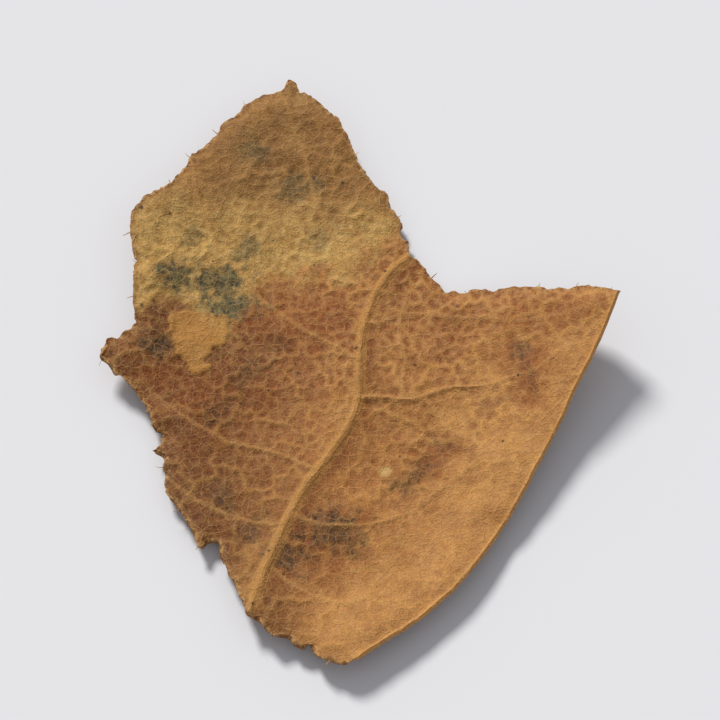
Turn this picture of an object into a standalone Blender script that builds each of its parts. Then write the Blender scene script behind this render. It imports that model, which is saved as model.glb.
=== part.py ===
"""A torn piece of a dry autumn leaf, lying with its veined underside up.

The piece grew and dried as one thing, so it is one thin closed solid. One edge
is the leaf's own smooth margin, which runs down from a pointed tip. The other
edges are torn. The blade lies flat in the middle and curls up all round, so
the piece rests on its belly. The main vein and its one large branch stand up
as ridges on the upper side.

Lengths are in millimetres until the mesh is made. +X is to the right, +Y away
from the viewer and +Z up. The origin is under the middle of the piece.
"""

import math
import random

import bmesh
import bpy
from mathutils import Vector
from mathutils.geometry import delaunay_2d_cdt

MM = 0.001

# The leaf's own margin, from the pointed tip down to the foot of the piece.
MARGIN = [
    (3.78, 1.46), (3.55, 0.92), (3.02, -0.14), (2.42, -1.30), (1.67, -2.50), (0.93, -3.28), (0.0, -3.94),
]

# Torn edges, on from the foot: the left side, the tongue at the top, the straight tear to the tip.
TORN_LEFT = [
    (0.0, -3.94), (-0.32, -3.99), (-0.80, -3.73), (-1.57, -3.26), (-1.69, -2.93), (-2.19, -2.00),
    (-2.75, -1.40), (-2.84, -0.70), (-3.07, -0.02), (-3.34, 0.33), (-3.75, 0.77), (-3.25, 1.30),
    (-3.30, 2.34), (-3.37, 2.97), (-3.16, 3.29), (-2.78, 3.55),
]
TORN_TONGUE = [(-2.78, 3.55), (-2.25, 4.26), (-1.80, 4.75), (-1.33, 5.04), (-0.91, 5.18)]
TORN_TOP = [
    (-0.91, 5.18), (-0.30, 4.64), (0.04, 3.88), (0.56, 3.20), (0.76, 2.54), (1.29, 1.93),
    (2.30, 1.87), (3.41, 1.68), (3.78, 1.46),
]
EDGE_STEP = 0.17
TEAR_DEPTH = 0.035
SEED = 11

# The blade and its flat belly, an ellipse. Beyond it the blade rises as the square of the distance.
BLADE_THICKNESS = 0.20
BELLY_CENTRE = (-0.30, 0.10)
BELLY_RADII = (1.3, 1.7)
RISE = 0.150
RISE_TO_RIGHT = 0.025
RISE_TO_FAR_SIDE = -0.020
RISE_ACROSS = 0.020
RIPPLE = 0.020
RIPPLES_ROUND = 5
RIPPLE_PHASE = 1.0

# Veins: the line of the crest, half the width of the foot, and the height at the thick end.
MAIN_VEIN = [
    (-1.50, -3.12), (-1.18, -2.19), (-0.80, -1.32), (-0.35, -0.65), (-0.02, 0.02), (0.01, 0.51),
    (0.04, 1.12), (0.19, 1.72), (0.62, 2.40),
]
BRANCH_VEIN = [(0.0, 0.16), (0.80, 0.17), (1.41, 0.31), (2.44, 0.43)]
VEIN_HALF_WIDTH = 0.12
MAIN_VEIN_HEIGHT = 0.10
BRANCH_VEIN_HEIGHT = 0.06
VEIN_STEP = 0.20

# Spacing of the points inside the outline, and the strip along edges and veins with none.
GRID_STEP = 0.23
CLEAR_STRIP = 0.12

LEAF_COLOUR = (0.35, 0.15, 0.055, 1.0)
LEAF_ROUGHNESS = 0.75


def clear_scene():
    for item in list(bpy.data.objects):
        bpy.data.objects.remove(item, do_unlink=True)


def smooth_curve(points, step):
    """Points about a step apart on a Catmull-Rom curve through the given ones."""
    ends = [2 * Vector(points[0]) - Vector(points[1]), 2 * Vector(points[-1]) - Vector(points[-2])]
    knots = [ends[0]] + [Vector(point) for point in points] + [ends[1]]
    curve = []
    for index in range(1, len(knots) - 2):
        before, start, end, after = knots[index - 1:index + 3]
        count = max(1, round((end - start).length / step))
        for number in range(count):
            t = number / count
            bend = (2 * before - 5 * start + 4 * end - after) * t * t
            twist = (3 * start - before - 3 * end + after) * t * t * t
            curve.append(0.5 * (2 * start + (end - before) * t + bend + twist))
    curve.append(Vector(points[-1]))
    return curve


def torn_line(points, chance):
    """Points about a step apart from corner to corner, pushed in and out as a tear is."""
    line = []
    for start, end in zip(points, points[1:]):
        start = Vector(start)
        end = Vector(end)
        across = (end - start).orthogonal().normalized()
        count = max(1, round((end - start).length / EDGE_STEP))
        line.append(start)
        for number in range(1, count):
            push = chance.uniform(-TEAR_DEPTH, TEAR_DEPTH)
            line.append(start.lerp(end, number / count) + across * push)
    line.append(Vector(points[-1]))
    return line


def leaf_outline():
    """The closed edge of the piece, clockwise from the tip."""
    chance = random.Random(SEED)
    outline = smooth_curve(MARGIN, EDGE_STEP)[:-1]
    for stretch in (TORN_LEFT, TORN_TONGUE, TORN_TOP):
        outline += torn_line(stretch, chance)[:-1]
    return outline


def distance_to_line(point, line):
    """Distance to a line of points, and how far along the line the nearest spot is, from 0 to 1."""
    nearest = math.inf
    along = 0.0
    for index, (start, end) in enumerate(zip(line, line[1:])):
        run = end - start
        part = max(0.0, min(1.0, (point - start).dot(run) / run.length_squared))
        distance = (point - start - run * part).length
        if distance < nearest:
            nearest = distance
            along = (index + part) / (len(line) - 1)
    return nearest, along


def is_inside(point, outline):
    """Whether a point lies inside a closed outline, by counting the edges to its right."""
    inside = False
    for start, end in zip(outline, outline[1:] + outline[:1]):
        if (start.y > point.y) != (end.y > point.y):
            crossing = start.x + (point.y - start.y) / (end.y - start.y) * (end.x - start.x)
            if point.x < crossing:
                inside = not inside
    return inside


def curl(point):
    """Height of the blade's lower side: nothing on the belly, then rising towards the edge."""
    across = (point.x - BELLY_CENTRE[0]) / BELLY_RADII[0]
    away = (point.y - BELLY_CENTRE[1]) / BELLY_RADII[1]
    beyond = max(0.0, math.hypot(across, away) - 1.0)
    angle = math.atan2(away, across)
    lift = RISE + RISE_TO_RIGHT * math.cos(angle) + RISE_TO_FAR_SIDE * math.sin(angle)
    lift += RISE_ACROSS * math.cos(2 * angle)
    lift += RIPPLE * math.sin(RIPPLES_ROUND * angle + RIPPLE_PHASE)
    return lift * beyond * beyond


def vein_height(point, veins):
    """Height of the vein ridges over the blade: a crest that fades towards the vein's thin end."""
    height = 0.0
    for line, full_height in veins:
        distance, along = distance_to_line(point, line)
        slope = max(0.0, 1.0 - distance / VEIN_HALF_WIDTH)
        height = max(height, full_height * slope * (1.0 - 0.6 * along))
    return height


def vein_points(line):
    """The crest of a vein, with the foot of the ridge on each side of it."""
    points = []
    for start, end in zip(line, line[1:]):
        across = (end - start).orthogonal().normalized() * VEIN_HALF_WIDTH
        points += [start, start + across, start - across]
    return points


def inner_points(outline, veins):
    """Points inside the outline: the rows along the veins, then a grid between them."""
    edge = outline + outline[:1]
    points = []
    for line, _ in veins:
        for point in vein_points(line):
            clear = all((point - other).length > VEIN_HALF_WIDTH * 0.6 for other in points)
            if clear and is_inside(point, outline) and distance_to_line(point, edge)[0] > CLEAR_STRIP * 0.5:
                points.append(point)
    low_x = min(point.x for point in outline)
    low_y = min(point.y for point in outline)
    columns = int((max(point.x for point in outline) - low_x) / GRID_STEP) + 1
    row_step = GRID_STEP * math.sqrt(0.75)
    rows = int((max(point.y for point in outline) - low_y) / row_step) + 1
    for row in range(rows):
        for column in range(columns):
            point = Vector((low_x + (column + 0.5 * (row % 2)) * GRID_STEP, low_y + row * row_step))
            if not is_inside(point, outline) or distance_to_line(point, edge)[0] < CLEAR_STRIP:
                continue
            gap = min(distance_to_line(point, line)[0] for line, _ in veins)
            if gap > VEIN_HALF_WIDTH + CLEAR_STRIP * 0.5:
                points.append(point)
    return points


def leaf_mesh():
    """The blade as a closed mesh: a flat sheet of triangles, extruded and then curled."""
    outline = leaf_outline()
    veins = [
        (smooth_curve(MAIN_VEIN, VEIN_STEP), MAIN_VEIN_HEIGHT),
        (smooth_curve(BRANCH_VEIN, VEIN_STEP), BRANCH_VEIN_HEIGHT),
    ]
    points = outline + inner_points(outline, veins)
    loop = list(range(len(outline)))
    edges = list(zip(loop, loop[1:] + loop[:1]))
    flat_points, _, faces, *_ = delaunay_2d_cdt(points, edges, [loop], 1, 1e-6)

    bm = bmesh.new()
    corners = [bm.verts.new((point.x, point.y, 0.0)) for point in flat_points]
    for face in faces:
        bm.faces.new([corners[index] for index in face])
    lifted = bmesh.ops.extrude_face_region(bm, geom=bm.faces[:])
    upper = {item for item in lifted["geom"] if isinstance(item, bmesh.types.BMVert)}

    centre_x = 0.5 * (min(point.x for point in outline) + max(point.x for point in outline))
    centre_y = 0.5 * (min(point.y for point in outline) + max(point.y for point in outline))
    for vert in bm.verts:
        spot = Vector((vert.co.x, vert.co.y))
        height = curl(spot)
        if vert in upper:
            height += BLADE_THICKNESS + vein_height(spot, veins)
        vert.co = Vector((spot.x - centre_x, spot.y - centre_y, height)) * MM
    bmesh.ops.recalc_face_normals(bm, faces=bm.faces[:])

    mesh = bpy.data.meshes.new("leaf_piece")
    bm.to_mesh(mesh)
    bm.free()
    mesh.shade_smooth()
    mesh.set_sharp_from_angle(angle=math.radians(40))
    return mesh


def leaf_material():
    material = bpy.data.materials.new("dry_leaf")
    material.use_nodes = True
    shader = material.node_tree.nodes["Principled BSDF"]
    shader.inputs["Base Color"].default_value = LEAF_COLOUR
    shader.inputs["Roughness"].default_value = LEAF_ROUGHNESS
    shader.inputs["Metallic"].default_value = 0.0
    return material


def main():
    clear_scene()
    mesh = leaf_mesh()
    mesh.materials.append(leaf_material())
    leaf = bpy.data.objects.new("leaf_piece", mesh)
    bpy.context.scene.collection.objects.link(leaf)


main()
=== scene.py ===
# %% [markdown]
# # A torn piece of a dry autumn leaf
#
# A leaf blade is a sandwich about a fifth of a millimetre thick: a skin on each side, soft tissue
# between them, and a plumbing of veins that stands up on the underside. When the leaf dies and dries
# the soft tissue shrinks, so every mesh of the vein net turns into a shallow pit, the blade cockles
# and its margin curls. This piece lies with that veined underside up. One of its edges is the leaf's
# own smooth margin and the others are torn.
#
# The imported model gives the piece's place and size. Everything below keeps to its box, apart from torn
# teeth and fibre tips, which pass it by less than a tenth of a millimetre.

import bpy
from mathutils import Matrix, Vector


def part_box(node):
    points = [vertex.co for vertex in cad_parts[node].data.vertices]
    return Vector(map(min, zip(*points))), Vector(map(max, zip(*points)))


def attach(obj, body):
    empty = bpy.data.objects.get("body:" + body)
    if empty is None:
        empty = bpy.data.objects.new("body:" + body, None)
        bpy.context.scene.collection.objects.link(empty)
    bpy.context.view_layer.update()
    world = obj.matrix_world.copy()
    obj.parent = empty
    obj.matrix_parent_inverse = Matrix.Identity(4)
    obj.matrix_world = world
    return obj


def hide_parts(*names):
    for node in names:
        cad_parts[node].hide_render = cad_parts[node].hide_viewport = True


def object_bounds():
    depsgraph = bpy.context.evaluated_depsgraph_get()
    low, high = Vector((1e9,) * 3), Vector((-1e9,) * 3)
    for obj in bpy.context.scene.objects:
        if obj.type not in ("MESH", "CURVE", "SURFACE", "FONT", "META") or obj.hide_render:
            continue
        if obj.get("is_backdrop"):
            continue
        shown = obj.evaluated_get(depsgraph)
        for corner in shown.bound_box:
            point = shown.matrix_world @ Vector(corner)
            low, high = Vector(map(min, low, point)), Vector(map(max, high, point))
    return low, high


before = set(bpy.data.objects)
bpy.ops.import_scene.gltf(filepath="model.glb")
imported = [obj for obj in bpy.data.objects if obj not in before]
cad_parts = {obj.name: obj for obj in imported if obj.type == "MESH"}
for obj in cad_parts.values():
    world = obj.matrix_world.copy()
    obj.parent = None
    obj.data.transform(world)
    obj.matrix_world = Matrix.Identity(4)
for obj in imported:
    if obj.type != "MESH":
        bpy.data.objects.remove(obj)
cad_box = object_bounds()
leaf_low, leaf_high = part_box("leaf_piece")
print("nodes:", sorted(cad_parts))
print("box in mm:", [round(side * 1000, 2) for side in leaf_high - leaf_low])

# %% [markdown]
# ## The outline
#
# The outline is drawn in millimetres, with the main vein's fork near zero. The margin is a smooth
# curve through a few points. A tear is drawn from corner to corner and roughened afterwards, because
# it runs straight only until it meets a vein, and then jumps sideways by a mesh of the net or two.
# The corners are the ones the solid part was drawn with, so the fine blade covers the plain one. Only
# the small notch and tooth on the left edge are new.

# %% Tools for curves
import math
import random

import bmesh
import bpy
import numpy as np
from mathutils import Vector, noise
from mathutils.kdtree import KDTree

MM = 0.001


def smooth_curve(points, step):
    """Points about a step apart on a Catmull-Rom curve through the given ones."""
    first = 2 * Vector(points[0]) - Vector(points[1])
    last = 2 * Vector(points[-1]) - Vector(points[-2])
    knots = [first] + [Vector(point) for point in points] + [last]
    curve = []
    for index in range(1, len(knots) - 2):
        before, start, end, after = knots[index - 1:index + 3]
        count = max(1, round((end - start).length / step))
        for number in range(count):
            t = number / count
            bend = (2 * before - 5 * start + 4 * end - after) * t * t
            twist = (3 * start - before - 3 * end + after) * t * t * t
            curve.append(0.5 * (2 * start + (end - before) * t + bend + twist))
    curve.append(Vector(points[-1]))
    return curve


# %% Draw the margin and the tears
MARGIN = [
    (3.78, 1.46), (3.55, 0.92), (3.02, -0.14), (2.42, -1.30), (1.67, -2.50), (0.93, -3.28), (0.0, -3.94),
]
TORN_LEFT = [
    (0.0, -3.94), (-0.32, -3.99), (-0.80, -3.73), (-1.57, -3.26), (-1.69, -2.93), (-1.97, -2.36),
    (-2.03, -2.06), (-2.27, -2.24), (-2.42, -1.84), (-2.75, -1.40), (-2.84, -0.70), (-3.07, -0.02),
    (-3.34, 0.33), (-3.75, 0.77), (-3.25, 1.30), (-3.30, 2.34), (-3.37, 2.97), (-3.16, 3.29), (-2.78, 3.55),
]
TORN_TONGUE = [(-2.78, 3.55), (-2.25, 4.26), (-1.80, 4.75), (-1.33, 5.04), (-0.91, 5.18)]
TORN_TOP = [
    (-0.91, 5.18), (-0.30, 4.64), (0.04, 3.88), (0.56, 3.20), (0.76, 2.54), (1.29, 1.93),
    (2.30, 1.87), (3.41, 1.68), (3.78, 1.46),
]
OUTLINE_STEP = 0.03
MARGIN_WAVES = [(0.60, 0.016), (0.20, 0.010)]
TEAR_ROUGHNESS = [(0.45, 0.045), (0.17, 0.028), (0.07, 0.014)]


def torn_line(points):
    """A tear from corner to corner, pushed sideways by noise of three sizes that fades at its ends."""
    line = []
    for start, end in zip(points, points[1:]):
        start = Vector(start)
        end = Vector(end)
        across = (end - start).orthogonal().normalized()
        count = max(2, round((end - start).length / OUTLINE_STEP))
        for number in range(count):
            spot = start.lerp(end, number / count)
            push = 0.0
            for size, depth in TEAR_ROUGHNESS:
                push += depth * noise.noise(Vector((spot.x / size, spot.y / size, size * 100)))
            fade = min(1.0, 4 * number / count, 4 * (count - number) / count)
            line.append(spot + across * push * (0.35 + 0.65 * fade))
    line.append(Vector(points[-1]))
    return line


def wavy_margin(points):
    """The leaf's own edge: a smooth curve with the faint waves that drying leaves."""
    curve = smooth_curve(points, OUTLINE_STEP)
    count = len(curve)
    for index in range(1, count - 1):
        across = (curve[index + 1] - curve[index - 1]).orthogonal().normalized()
        push = 0.0
        for size, depth in MARGIN_WAVES:
            push += depth * noise.noise(Vector((curve[index].x / size, curve[index].y / size, 7.0)))
        curve[index] = curve[index] + across * push
    return curve


margin = wavy_margin(MARGIN)
tears = [torn_line(stretch) for stretch in (TORN_LEFT, TORN_TONGUE, TORN_TOP)]
outline = margin[:-1] + [point for tear in tears for point in tear[:-1]]
outline_xy = np.array([point[:] for point in outline])
print("outline points:", len(outline), "of them on the margin:", len(margin))

# %% [markdown]
# ## The veins
#
# Veins come in ranks. The main vein is the thickest; side veins leave it on both sides and join hands
# near the margin. Between them lies a net whose meshes are cut by finer and finer veinlets. A net
# like that can be made from cells round scattered seeds. Each fine seed belongs to the nearest middle
# seed, and each middle seed to the nearest coarse one. A wall between two fine cells is a thin
# veinlet, but where their coarse owners differ the same wall is a stout vein. That gives a net whose
# thick veins always run along thin ones, as real ones do, and never simply cross them.

# %% Draw the veins
MAIN_VEIN = [
    (-1.58, -3.30), (-1.18, -2.19), (-0.80, -1.32), (-0.35, -0.65), (-0.02, 0.02), (0.01, 0.51),
    (0.04, 1.12), (0.19, 1.72), (0.42, 2.12), (0.78, 2.50),
]
VEIN_STEP = 0.06
# Each vein: its line, half its width at the thick and the thin end, its height at both ends.
VEINS = [
    (MAIN_VEIN, 0.115, 0.075, 0.058, 0.044),
    ([(-0.01, 0.14), (0.80, 0.17), (1.41, 0.31), (2.44, 0.43), (2.95, 0.80)],
     0.062, 0.030, 0.055, 0.012),
    ([(0.60, 0.19), (0.66, 0.71), (0.61, 1.20), (0.70, 1.90)], 0.040, 0.030, 0.028, 0.020),
    ([(-0.96, -1.70), (-0.30, -1.86), (0.50, -1.72), (1.20, -1.30), (1.85, -0.72)],
     0.050, 0.026, 0.038, 0.012),
    ([(-1.30, -2.50), (-0.80, -2.88), (-0.20, -3.06), (0.45, -2.90)], 0.042, 0.026, 0.028, 0.010),
    ([(-0.58, -1.00), (-1.10, -0.74), (-1.80, -0.56), (-2.50, -0.20), (-3.20, 0.42)],
     0.050, 0.030, 0.042, 0.018),
    ([(0.01, 0.74), (-0.60, 1.13), (-1.30, 1.62), (-1.90, 2.30), (-2.30, 3.10), (-2.50, 3.90)],
     0.055, 0.030, 0.046, 0.018),
    ([(0.24, 1.84), (-0.20, 2.42), (-0.55, 3.12), (-0.80, 3.94), (-1.12, 4.90)],
     0.052, 0.032, 0.044, 0.018),
    ([(-1.05, -1.90), (-1.60, -1.76), (-2.20, -1.52), (-2.75, -1.10)], 0.042, 0.026, 0.030, 0.012),
    ([(0.09, 1.36), (0.80, 1.52), (1.60, 1.42), (2.40, 1.26), (3.30, 1.34)], 0.040, 0.024, 0.026, 0.010),
    ([(0.95, 0.19), (1.30, -0.30), (1.90, -0.66), (2.45, -0.80)], 0.036, 0.024, 0.020, 0.008),
]
veins = []
for line, *sizes in VEINS:
    curve = smooth_curve(line, VEIN_STEP)
    veins.append((np.array([point[:] for point in curve]), sizes))
print("veins drawn by hand:", len(veins))

# %% Scatter the seeds of the net
FINE_MESH = 0.175
MIDDLE_MESH = 0.42
COARSE_MESH = 0.95
SEED_SPREAD = 0.40
NET_EDGE = 0.5
seed_draw = np.random.default_rng(5)


def scatter(mesh_size):
    """Seeds on a grid of the mesh size, each pushed off its spot so that the cells come out uneven."""
    low = outline_xy.min(0) - NET_EDGE
    high = outline_xy.max(0) + NET_EDGE
    rows = np.arange(low[1], high[1], mesh_size)
    columns = np.arange(low[0], high[0], mesh_size)
    spots = np.stack(np.meshgrid(columns, rows), -1)
    spots[1::2, :, 0] += 0.5 * mesh_size
    spots = spots.reshape(-1, 2)
    return spots + seed_draw.uniform(-SEED_SPREAD, SEED_SPREAD, spots.shape) * mesh_size


def owners(seeds, bigger_seeds):
    """For each seed, the number of the nearest bigger seed."""
    gaps = np.linalg.norm(seeds[:, None] - bigger_seeds[None], axis=2)
    return gaps.argmin(1)


fine_seeds = scatter(FINE_MESH)
middle_seeds = scatter(MIDDLE_MESH)
coarse_seeds = scatter(COARSE_MESH)
middle_owner = owners(fine_seeds, middle_seeds)
coarse_owner = owners(middle_seeds, coarse_seeds)[middle_owner]
print("seeds:", len(fine_seeds), len(middle_seeds), len(coarse_seeds))

# %% [markdown]
# ## The sheet
#
# A fine even grid holds small relief best, because every part of it is sampled alike. The grid comes
# from one operator, and faces outside the piece are deleted. Along the margin that means outside the
# smooth curve. Dry tissue snaps along its veinlets, so along a tear whole cells of the net drop out in
# places, which leaves little angular bites, and elsewhere the tear runs on nearly straight. Each face is
# therefore tested not where it lies but part of the way towards the middle of its cell.

# %% Tools for distances and noise
def nearest_on_line(spots, line):
    """For many spots: distance to a line of points, which stretch is nearest, and how far along it."""
    best = np.full(len(spots), np.inf)
    stretch = np.zeros(len(spots), int)
    part = np.zeros(len(spots))
    for index, (start, run) in enumerate(zip(line[:-1], line[1:] - line[:-1])):
        t = np.clip((spots - start) @ run / (run @ run), 0.0, 1.0)
        gap = np.hypot(*(spots - start - t[:, None] * run).T)
        nearer = gap < best
        best[nearer] = gap[nearer]
        stretch[nearer] = index
        part[nearer] = t[nearer]
    return best, stretch, part


def inside_ring(spots, ring):
    """Which spots lie inside a closed ring, by counting the ring's crossings to their right."""
    inside = np.zeros(len(spots), bool)
    for start, end in zip(ring, np.roll(ring, -1, axis=0)):
        if start[1] == end[1]:
            continue
        between = (start[1] > spots[:, 1]) != (end[1] > spots[:, 1])
        crossing = start[0] + (spots[:, 1] - start[1]) / (end[1] - start[1]) * (end[0] - start[0])
        inside ^= between & (spots[:, 0] < crossing)
    return inside


def noise_at(spots, size, shift, octaves=1):
    """Smooth noise, about -1 to 1, whose bumps are a size across. The shift picks a slice of it."""
    values = np.zeros(len(spots))
    weight = 1.6
    for octave in range(octaves):
        scale = 2 ** octave / size
        level = shift + 13.7 * octave
        values += weight * np.array([noise.noise((x * scale, y * scale, level)) for x, y in spots])
        weight *= 0.5
    return values


def ramp(values, low, high):
    """A smooth step from 0 at low to 1 at high."""
    t = np.clip((values - low) / (high - low), 0.0, 1.0)
    return t * t * (3 - 2 * t)


# %% [markdown]
# The net is never drawn. It is looked up: a spot's two nearest seeds say whose cell it lies in and how
# far off the wall between them is, which is half the difference of the squared distances over the
# distance between the seeds. The next few seeds are tried too, because the nearest middle or coarse
# wall may be one of theirs. Spots are handled in blocks, so that the table of distances stays small.

# %% Look up the net
WARP = 0.035
WARP_SIZE = 0.28
NEIGHBOURS = 10
BLOCK = 4000


def warp(spots):
    """Spots pushed about a little, so that the walls of the net bend instead of running dead straight."""
    push = np.stack([noise_at(spots, WARP_SIZE, shift, 2) for shift in (21.0, 33.0)], 1)
    return spots + WARP * push


def net_walls(spots):
    """Each spot's own fine cell, and its distance to the nearest fine, middle and coarse wall."""
    cell = np.zeros(len(spots), int)
    walls = np.ones((3, len(spots)))
    for first in range(0, len(spots), BLOCK):
        block = spots[first:first + BLOCK]
        squares = ((block[:, None] - fine_seeds[None]) ** 2).sum(2)
        close = np.argpartition(squares, NEIGHBOURS, axis=1)[:, :NEIGHBOURS]
        square = np.take_along_axis(squares, close, 1)
        order = np.argsort(square, axis=1)
        close = np.take_along_axis(close, order, 1)
        square = np.take_along_axis(square, order, 1)
        own = close[:, :1]
        apart = np.linalg.norm(fine_seeds[close[:, 1:]] - fine_seeds[own], axis=2)
        wall = (square[:, 1:] - square[:, :1]) / (2 * apart)
        cell[first:first + BLOCK] = own[:, 0]
        for rank, owner in enumerate((None, middle_owner, coarse_owner)):
            other = np.ones(wall.shape, bool) if owner is None else owner[close[:, 1:]] != owner[own]
            walls[rank, first:first + BLOCK] = np.where(other, wall, 1.0).min(1)
    return cell, walls


# %% Cut the grid to the outline
GRID_STEP = 0.0315
SPARE = 0.12
MARGIN_ZONE = 0.25
BITE_DEPTH = 0.95
BITE_SPACING = 0.8
BITE_RANGE = (-0.15, 0.75)
# The tear at the upper right follows a stout vein, so past these places it stays nearly straight.
STRAIGHT_SHARE = 0.85
STRAIGHT_X = (1.0, 1.5)
STRAIGHT_Y = (0.8, 1.2)
sheet = bmesh.new()
number_layer = sheet.verts.layers.int.new("sheet_number")
sheet_low = outline_xy.min(0) - SPARE
sheet_size = outline_xy.max(0) + SPARE - sheet_low
columns, rows = (int(round(side / GRID_STEP)) for side in sheet_size)
bmesh.ops.create_grid(sheet, x_segments=columns, y_segments=rows, size=0.5)
centre = sheet_low + 0.5 * sheet_size
bmesh.ops.scale(sheet, vec=(sheet_size[0], sheet_size[1], 1.0), verts=sheet.verts[:])
bmesh.ops.translate(sheet, vec=(centre[0], centre[1], 0.0), verts=sheet.verts[:])
faces = sheet.faces[:]
middles = np.array([face.calc_center_median()[:2] for face in faces])
margin_xy = np.array([point[:] for point in margin])
cell, _ = net_walls(warp(middles))
margin_gap, _, _ = nearest_on_line(middles, margin_xy)
bite = BITE_DEPTH * ramp(noise_at(middles, BITE_SPACING, 41.0, 2), *BITE_RANGE)
bite *= ramp(margin_gap, 0.0, MARGIN_ZONE)
bite *= 1.0 - STRAIGHT_SHARE * ramp(middles[:, 0], *STRAIGHT_X) * ramp(middles[:, 1], *STRAIGHT_Y)
tested = middles + bite[:, None] * (fine_seeds[cell] - middles)
outside = [face for face, kept in zip(faces, inside_ring(tested, outline_xy)) if not kept]
bmesh.ops.delete(sheet, geom=outside, context="FACES")
print("grid:", columns, "by", rows, "faces kept:", len(sheet.faces))

# %% [markdown]
# Cutting a grid leaves scraps that hang on by a corner, and corners where two faces touch in a point.
# A solid can't have either, so both are found and dropped, and only the largest sheet is kept.

# %% Clean the rim
def loose_flakes(bm):
    """Faces that hang on to the main sheet by nothing, or only by a corner."""
    waiting = set(bm.faces)
    groups = []
    while waiting:
        group = [waiting.pop()]
        for face in group:
            for edge in face.edges:
                for other in edge.link_faces:
                    if other in waiting:
                        waiting.remove(other)
                        group.append(other)
        groups.append(group)
    groups.sort(key=len)
    return [face for group in groups[:-1] for face in group]


def rim_neighbours(vert):
    """The points before and after a rim point along the rim."""
    return [edge.other_vert(vert) for edge in vert.link_edges if edge.is_boundary]


bmesh.ops.delete(sheet, geom=loose_flakes(sheet), context="FACES")
pinched = [vert for vert in sheet.verts if vert.is_boundary and len(rim_neighbours(vert)) > 2]
bmesh.ops.delete(sheet, geom=[face for vert in pinched for face in vert.link_faces], context="FACES")
bmesh.ops.delete(sheet, geom=loose_flakes(sheet), context="FACES")
print("pinched corners opened:", len(pinched), "faces left:", len(sheet.faces))

# %% [markdown]
# The cut leaves a rim like a flight of stairs. Rim points on the margin are pulled onto its curve.
# Rim points in a tear are averaged with their neighbours along the rim, a few times over, which
# smooths the stairs and keeps the bites. The rows behind the rim are then relaxed to even them out.

# %% Smooth the rim
MARGIN_CATCH = 0.8 * GRID_STEP
EVENING_PASSES = 5
RELAXED_ROWS = 2
RELAXING_PASSES = 3
sheet.verts.index_update()
rim = [vert for vert in sheet.verts if vert.is_boundary]
rim_number = {vert: number for number, vert in enumerate(rim)}
around = np.array([[rim_number[other] for other in rim_neighbours(vert)] for vert in rim])
rim_xy = np.array([vert.co[:2] for vert in rim])
rim_to_margin, stretch, part = nearest_on_line(rim_xy, margin_xy)
is_margin = rim_to_margin < MARGIN_CATCH
pulled = margin_xy[stretch] + part[:, None] * (margin_xy[stretch + 1] - margin_xy[stretch])
rim_xy[is_margin] = pulled[is_margin]
for _ in range(EVENING_PASSES):
    even = rim_xy[around].mean(1)
    rim_xy += np.where(is_margin, 0.0, 0.5)[:, None] * (even - rim_xy)
for vert, spot in zip(rim, rim_xy):
    vert.co = (spot[0], spot[1], 0.0)
near_rim = set(rim)
for _ in range(RELAXED_ROWS):
    near_rim |= {edge.other_vert(vert) for vert in near_rim for edge in vert.link_edges}
relaxed = sorted(near_rim - set(rim), key=lambda vert: vert.index)
for _ in range(RELAXING_PASSES):
    bmesh.ops.smooth_vert(sheet, verts=relaxed, factor=0.5, use_axis_x=True, use_axis_y=True)
print("rim points:", len(rim), "on the margin:", int(is_margin.sum()), "relaxed points:", len(relaxed))

# %% [markdown]
# Extruding the sheet gives its upper side and the wall round it in one step. The wall is cut into three
# rows, so that the torn edge can be shaped. Every point keeps the number of the sheet point it came
# from, and whatever is measured on the flat sheet is handed on by that number. Its layer is 0 on the
# lower side and 1 on the upper one. An extrusion may list its wall in another order each time it runs,
# so points and faces are sorted by their numbers, and the mesh comes out the same every time.

# %% Number the points and extrude the sheet
WALL_ROWS = 3
for number, vert in enumerate(sheet.verts):
    vert[number_layer] = number
flat_xy = np.array([vert.co[:2] for vert in sheet.verts])
lifted = bmesh.ops.extrude_face_region(sheet, geom=sheet.faces[:])
upper = [item for item in lifted["geom"] if isinstance(item, bmesh.types.BMVert)]
bmesh.ops.translate(sheet, vec=(0.0, 0.0, 1.0), verts=upper)
wall = [edge for edge in sheet.edges if abs(edge.verts[0].co.z - edge.verts[1].co.z) > 0.5]
bmesh.ops.subdivide_edges(sheet, edges=wall, cuts=WALL_ROWS - 1, use_grid_fill=True)
bmesh.ops.recalc_face_normals(sheet, faces=sheet.faces[:])


def point_order(vert):
    """By sheet number, and then by row from the lower side up."""
    return vert[number_layer] * (WALL_ROWS + 1) + round(WALL_ROWS * vert.co.z)


def face_order(face):
    """By the face's first point, and then by its last."""
    numbers = [vert.index for vert in face.verts]
    return min(numbers) * len(sheet.verts) + max(numbers)


sheet.verts.sort(key=point_order)
sheet.verts.index_update()
sheet.faces.sort(key=face_order)
leaf_mesh = bpy.data.meshes.new("leaf_blade")
sheet.to_mesh(leaf_mesh)
sheet.free()
points = np.empty((len(leaf_mesh.vertices), 3))
leaf_mesh.vertices.foreach_get("co", points.ravel())
layer = np.round(WALL_ROWS * points[:, 2]) / WALL_ROWS
sheet_number = np.empty(len(leaf_mesh.vertices), np.int32)
leaf_mesh.attributes["sheet_number"].data.foreach_get("value", sheet_number)
leaf_mesh.attributes.remove(leaf_mesh.attributes["sheet_number"])
print("points:", len(points), "triangles:", sum(len(face.vertices) - 2 for face in leaf_mesh.polygons))

# %% [markdown]
# ## Measuring every point
#
# Relief and colour both follow the same few facts about a point: how far it is from the rim and from
# each vein, and where it lies in its mesh of the net. They are worked out once here, on the flat
# sheet, and both sides of the blade share them.

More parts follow.
